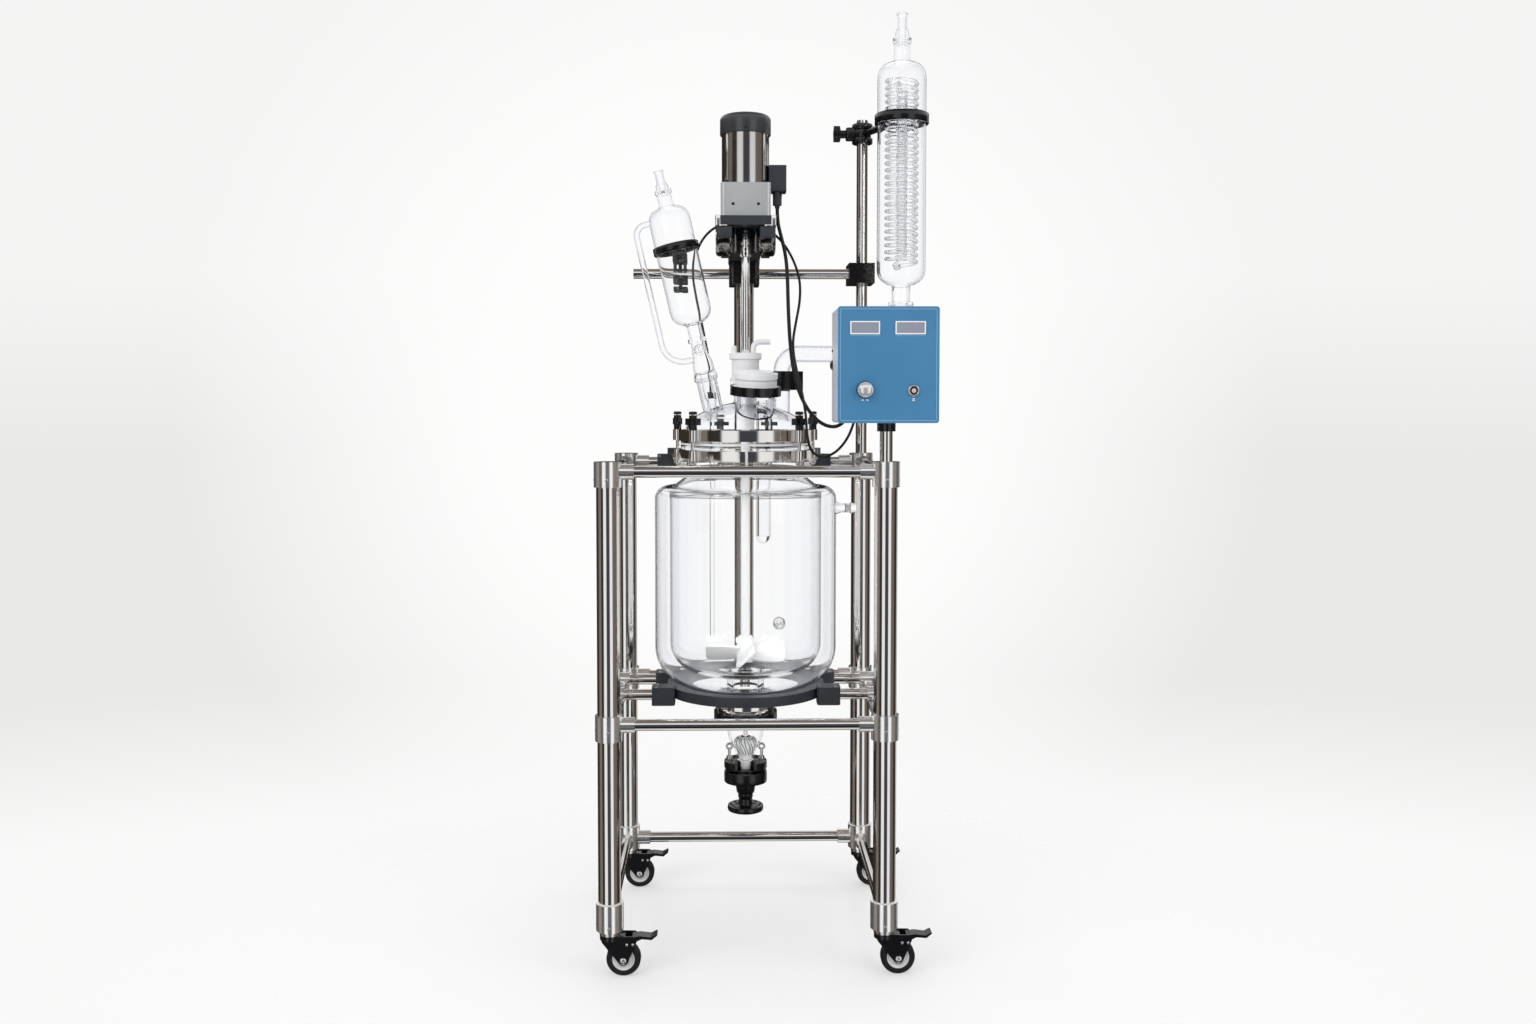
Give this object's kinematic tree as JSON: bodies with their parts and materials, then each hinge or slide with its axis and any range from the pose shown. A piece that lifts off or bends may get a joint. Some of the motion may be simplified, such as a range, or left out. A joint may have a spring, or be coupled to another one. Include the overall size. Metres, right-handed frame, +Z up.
{
  "type": "jacketed glass reactor",
  "caption": "Jacketed glass reactor with stirrer, condenser, dropping funnel and control box on a wheeled tube stand.",
  "frame": {"origin": "on the floor under the vessel's axis", "axes": "+X to the operator's right, +Y away from the operator, +Z up along the vessel's axis"},
  "size_m": [0.772, 0.6523, 2.181],
  "materials": {
    "stainless": "polished",
    "slate": "satin",
    "black": "gloss",
    "black_rubber": "matt",
    "caster_black": "satin",
    "zinc": "satin",
    "ptfe": "satin",
    "clear_glass": "gloss",
    "motor_grey": "satin",
    "cap_grey": "satin",
    "box_grey": "satin",
    "panel_blue": "satin",
    "trim_dark": "gloss",
    "switch_red": "gloss"
  },
  "bodies": {
    "stand": {"caster_stems": "zinc", "clamp_knobs": "black", "clamp_rings": "slate", "condenser_body": "clear_glass", "condenser_coil": "clear_glass", "control_box": "box_grey", "control_panel": "panel_blue", "corner_posts": "stainless", "drain_flange": "black", "drain_glass": "clear_glass", "flange_gasket": "ptfe", "flange_studs": "stainless", "funnel_body": "clear_glass", "gearbox": "motor_grey", "joint_clamps": "black", "junction_box": "black", "lid": "clear_glass", "motor_body": "motor_grey", "motor_bracket": "slate", "motor_cable": "black_rubber", "motor_cap": "cap_grey", "neck_brackets": "stainless", "panel_trims": "trim_dark", "post_collars": "stainless", "probe_tubes": "ptfe", "rail_tees": "stainless", "rails": "stainless", "ring_blocks": "slate", "ring_holders": "stainless", "rod_clamps": "stainless", "seal_housing": "ptfe", "sensor_cable": "black_rubber", "stand_rods": "stainless", "support_ring": "slate", "top_adapters": "clear_glass", "valve_body": "black", "vapour_elbow": "clear_glass", "vessel": "clear_glass"},
    "charging_cover": {"charging_cover": "ptfe"},
    "stirrer": {"shaft_coupling": "zinc", "stirrer_shaft": "stainless", "stirrer_paddle": "ptfe"},
    "stopcock": {"funnel_stopcock": "black"},
    "holder_knob": {"condenser_knob": "black"},
    "speed_knob": {"speed_knob": "black"},
    "power_button": {"power_button": "switch_red"},
    "drain_plug": {"drain_plug": "ptfe"},
    "handwheel": {"handwheel": "black"},
    "fork_front_left": {"caster_fork_front_left": "caster_black"},
    "wheel_front_left": {"caster_wheel_front_left": "black_rubber"},
    "pedal_front_left": {"caster_pedal_front_left": "caster_black"},
    "fork_front_right": {"caster_fork_front_right": "caster_black"},
    "wheel_front_right": {"caster_wheel_front_right": "black_rubber"},
    "pedal_front_right": {"caster_pedal_front_right": "caster_black"},
    "fork_rear_left": {"caster_fork_rear_left": "caster_black"},
    "wheel_rear_left": {"caster_wheel_rear_left": "black_rubber"},
    "pedal_rear_left": {"caster_pedal_rear_left": "caster_black"},
    "fork_rear_right": {"caster_fork_rear_right": "caster_black"},
    "wheel_rear_right": {"caster_wheel_rear_right": "black_rubber"},
    "pedal_rear_right": {"caster_pedal_rear_right": "caster_black"}
  },
  "joints": [
    {"name": "caster_swivel_front_left", "type": "hinge", "parent": "stand", "child": "fork_front_left", "pos_m": [-0.3, -0.25, 0.086], "axis": [0, 0, 1], "continuous": true},
    {"name": "caster_roll_front_left", "type": "hinge", "parent": "fork_front_left", "child": "wheel_front_left", "pos_m": [-0.27, -0.25, 0.0375], "axis": [0, 1, 0], "continuous": true},
    {"name": "brake_pedal_front_left", "type": "hinge", "parent": "fork_front_left", "child": "pedal_front_left", "pos_m": [-0.248, -0.25, 0.082], "axis": [0, 1, 0], "range_deg": [0, 12]},
    {"name": "caster_swivel_front_right", "type": "hinge", "parent": "stand", "child": "fork_front_right", "pos_m": [0.3, -0.25, 0.086], "axis": [0, 0, 1], "continuous": true},
    {"name": "caster_roll_front_right", "type": "hinge", "parent": "fork_front_right", "child": "wheel_front_right", "pos_m": [0.33, -0.25, 0.0375], "axis": [0, 1, 0], "continuous": true},
    {"name": "brake_pedal_front_right", "type": "hinge", "parent": "fork_front_right", "child": "pedal_front_right", "pos_m": [0.352, -0.25, 0.082], "axis": [0, 1, 0], "range_deg": [0, 12]},
    {"name": "caster_swivel_rear_left", "type": "hinge", "parent": "stand", "child": "fork_rear_left", "pos_m": [-0.3, 0.27, 0.086], "axis": [0, 0, 1], "continuous": true},
    {"name": "caster_roll_rear_left", "type": "hinge", "parent": "fork_rear_left", "child": "wheel_rear_left", "pos_m": [-0.27, 0.27, 0.0375], "axis": [0, 1, 0], "continuous": true},
    {"name": "brake_pedal_rear_left", "type": "hinge", "parent": "fork_rear_left", "child": "pedal_rear_left", "pos_m": [-0.248, 0.27, 0.082], "axis": [0, 1, 0], "range_deg": [0, 12]},
    {"name": "caster_swivel_rear_right", "type": "hinge", "parent": "stand", "child": "fork_rear_right", "pos_m": [0.3, 0.27, 0.086], "axis": [0, 0, 1], "continuous": true},
    {"name": "caster_roll_rear_right", "type": "hinge", "parent": "fork_rear_right", "child": "wheel_rear_right", "pos_m": [0.33, 0.27, 0.0375], "axis": [0, 1, 0], "continuous": true},
    {"name": "brake_pedal_rear_right", "type": "hinge", "parent": "fork_rear_right", "child": "pedal_rear_right", "pos_m": [0.352, 0.27, 0.082], "axis": [0, 1, 0], "range_deg": [0, 12]},
    {"name": "charging_cover_lift", "type": "slide", "parent": "stand", "child": "charging_cover", "axis": [0.03, -0.1218, 0.9921], "range_m": [0, 0.08]},
    {"name": "stirrer_spin", "type": "hinge", "parent": "stand", "child": "stirrer", "pos_m": [0, 0, 1.3], "axis": [0, 0, 1], "continuous": true},
    {"name": "stopcock_turn", "type": "hinge", "parent": "stand", "child": "stopcock", "pos_m": [-0.10833, 0.03, 1.37549], "axis": [0, 1, 0], "range_deg": [0, 90]},
    {"name": "holder_knob_turn", "type": "hinge", "parent": "stand", "child": "holder_knob", "pos_m": [0.26, 0.27, 1.93], "axis": [1, 0, 0], "continuous": true},
    {"name": "speed_turn", "type": "hinge", "parent": "stand", "child": "speed_knob", "pos_m": [0.2457, -0.33, 1.2763], "axis": [0, 1, 0], "range_deg": [-135, 135]},
    {"name": "button_press", "type": "slide", "parent": "stand", "child": "power_button", "axis": [0, 1, 0], "range_m": [0, 0.003], "stiffness_N_per_m": 400},
    {"name": "handwheel_turn", "type": "hinge", "parent": "stand", "child": "handwheel", "pos_m": [0, 0, 0.3], "axis": [0, 0, 1], "range_deg": [-1080, 0]},
    {"name": "drain_plug_slide", "type": "slide", "parent": "stand", "child": "drain_plug", "axis": [0, 0, 1], "range_m": [-0.015, 0]}
  ],
  "couplings": [
    {"joint": "drain_plug_slide", "follows": "handwheel_turn", "m_per_rad": 0.00079577}
  ]
}
